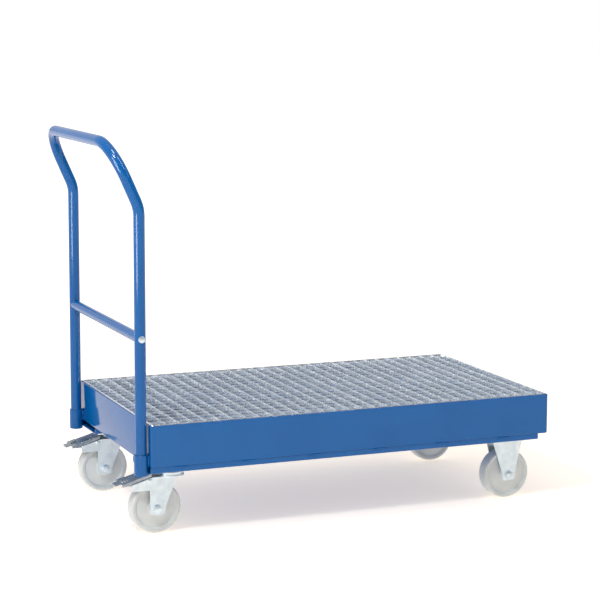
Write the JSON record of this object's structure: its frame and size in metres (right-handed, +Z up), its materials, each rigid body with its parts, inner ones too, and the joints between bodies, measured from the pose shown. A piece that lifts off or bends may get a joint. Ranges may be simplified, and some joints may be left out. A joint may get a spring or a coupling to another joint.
{
  "type": "flatbed platform truck",
  "caption": "Platform truck with an oil-tight steel tray, a lay-in bar grating, a plug-in push bow, braked swivel castors at the handle end and fixed castors at the front.",
  "frame": {"origin": "on the floor under the centre of the whole truck's box", "axes": "+X from the handle end to the front, +Y to the left of someone pushing, +Z up"},
  "size_m": [1.1474, 0.6, 0.9485],
  "materials": {
    "blue_enamel": "gloss powder coat",
    "galvanised_steel": "hot-dip galvanised, fine spangle",
    "zinc_plated_steel": "bright zinc plated",
    "white_nylon": "moulded, satin",
    "bright_steel": "ground",
    "black_rubber": "moulded"
  },
  "bodies": {
    "chassis": {"tray": "blue_enamel", "grating_ledges": "blue_enamel", "grating_support": "blue_enamel", "castor_rail_right": "blue_enamel", "castor_rail_left": "blue_enamel", "handle_socket_right": "blue_enamel", "handle_socket_left": "blue_enamel", "plate_bolts": "zinc_plated_steel", "plate_nuts": "zinc_plated_steel", "fixed_axle_bolts": "zinc_plated_steel", "fixed_axle_nuts": "zinc_plated_steel", "fixed_axle_sleeves": "bright_steel", "swivel_plate_right": "zinc_plated_steel", "swivel_kingpin_right": "zinc_plated_steel", "swivel_race_right": "zinc_plated_steel", "fixed_fork_right": "zinc_plated_steel", "swivel_plate_left": "zinc_plated_steel", "swivel_kingpin_left": "zinc_plated_steel", "swivel_race_left": "zinc_plated_steel", "fixed_fork_left": "zinc_plated_steel"},
    "push_handle": {"push_bow": "blue_enamel", "cross_tube": "blue_enamel", "cross_tube_plugs": "bright_steel", "cross_tube_screws": "zinc_plated_steel", "cross_tube_washers": "zinc_plated_steel"},
    "grating": {"grating_border": "galvanised_steel", "grating_bearing_bars": "galvanised_steel", "grating_cross_bars": "galvanised_steel"},
    "swivel_right": {"swivel_fork_right": "zinc_plated_steel", "swivel_balls_right": "bright_steel", "swivel_axle_bolt_right": "zinc_plated_steel", "swivel_axle_nut_right": "zinc_plated_steel", "swivel_axle_sleeve_right": "bright_steel", "brake_pin_right": "zinc_plated_steel", "brake_spring_right": "bright_steel"},
    "swivel_wheel_right": {"swivel_wheel_right": "white_nylon", "swivel_rollers_right": "bright_steel"},
    "fixed_wheel_right": {"fixed_wheel_right": "white_nylon", "fixed_rollers_right": "bright_steel"},
    "brake_right": {"brake_pedal_right": "zinc_plated_steel", "brake_shoe_right": "black_rubber"},
    "swivel_left": {"swivel_fork_left": "zinc_plated_steel", "swivel_balls_left": "bright_steel", "swivel_axle_bolt_left": "zinc_plated_steel", "swivel_axle_nut_left": "zinc_plated_steel", "swivel_axle_sleeve_left": "bright_steel", "brake_pin_left": "zinc_plated_steel", "brake_spring_left": "bright_steel"},
    "swivel_wheel_left": {"swivel_wheel_left": "white_nylon", "swivel_rollers_left": "bright_steel"},
    "fixed_wheel_left": {"fixed_wheel_left": "white_nylon", "fixed_rollers_left": "bright_steel"},
    "brake_left": {"brake_pedal_left": "zinc_plated_steel", "brake_shoe_left": "black_rubber"}
  },
  "joints": [
    {"name": "handle_lift", "type": "slide", "parent": "chassis", "child": "push_handle", "axis": [0, 0, 1], "range_m": [0, 0.06]},
    {"name": "grating_lift", "type": "slide", "parent": "chassis", "child": "grating", "axis": [0, 0, 1], "range_m": [0, 0.06]},
    {"name": "swivel_turn_right", "type": "hinge", "parent": "chassis", "child": "swivel_right", "pos_m": [-0.4013, -0.217, 0.148], "axis": [0, 0, 1], "continuous": true},
    {"name": "swivel_wheel_spin_right", "type": "hinge", "parent": "swivel_right", "child": "swivel_wheel_right", "pos_m": [-0.4423, -0.217, 0.0625], "axis": [0, 1, 0], "continuous": true},
    {"name": "brake_press_right", "type": "hinge", "parent": "swivel_right", "child": "brake_right", "pos_m": [-0.4613, -0.217, 0.13], "axis": [0, -1, 0], "range_deg": [0, 10]},
    {"name": "fixed_wheel_spin_right", "type": "hinge", "parent": "chassis", "child": "fixed_wheel_right", "pos_m": [0.4947, -0.217, 0.0625], "axis": [0, 1, 0], "continuous": true},
    {"name": "swivel_turn_left", "type": "hinge", "parent": "chassis", "child": "swivel_left", "pos_m": [-0.4013, 0.217, 0.148], "axis": [0, 0, 1], "continuous": true},
    {"name": "swivel_wheel_spin_left", "type": "hinge", "parent": "swivel_left", "child": "swivel_wheel_left", "pos_m": [-0.4423, 0.217, 0.0625], "axis": [0, 1, 0], "continuous": true},
    {"name": "brake_press_left", "type": "hinge", "parent": "swivel_left", "child": "brake_left", "pos_m": [-0.4613, 0.217, 0.13], "axis": [0, -1, 0], "range_deg": [0, 10]},
    {"name": "fixed_wheel_spin_left", "type": "hinge", "parent": "chassis", "child": "fixed_wheel_left", "pos_m": [0.4947, 0.217, 0.0625], "axis": [0, 1, 0], "continuous": true}
  ]
}
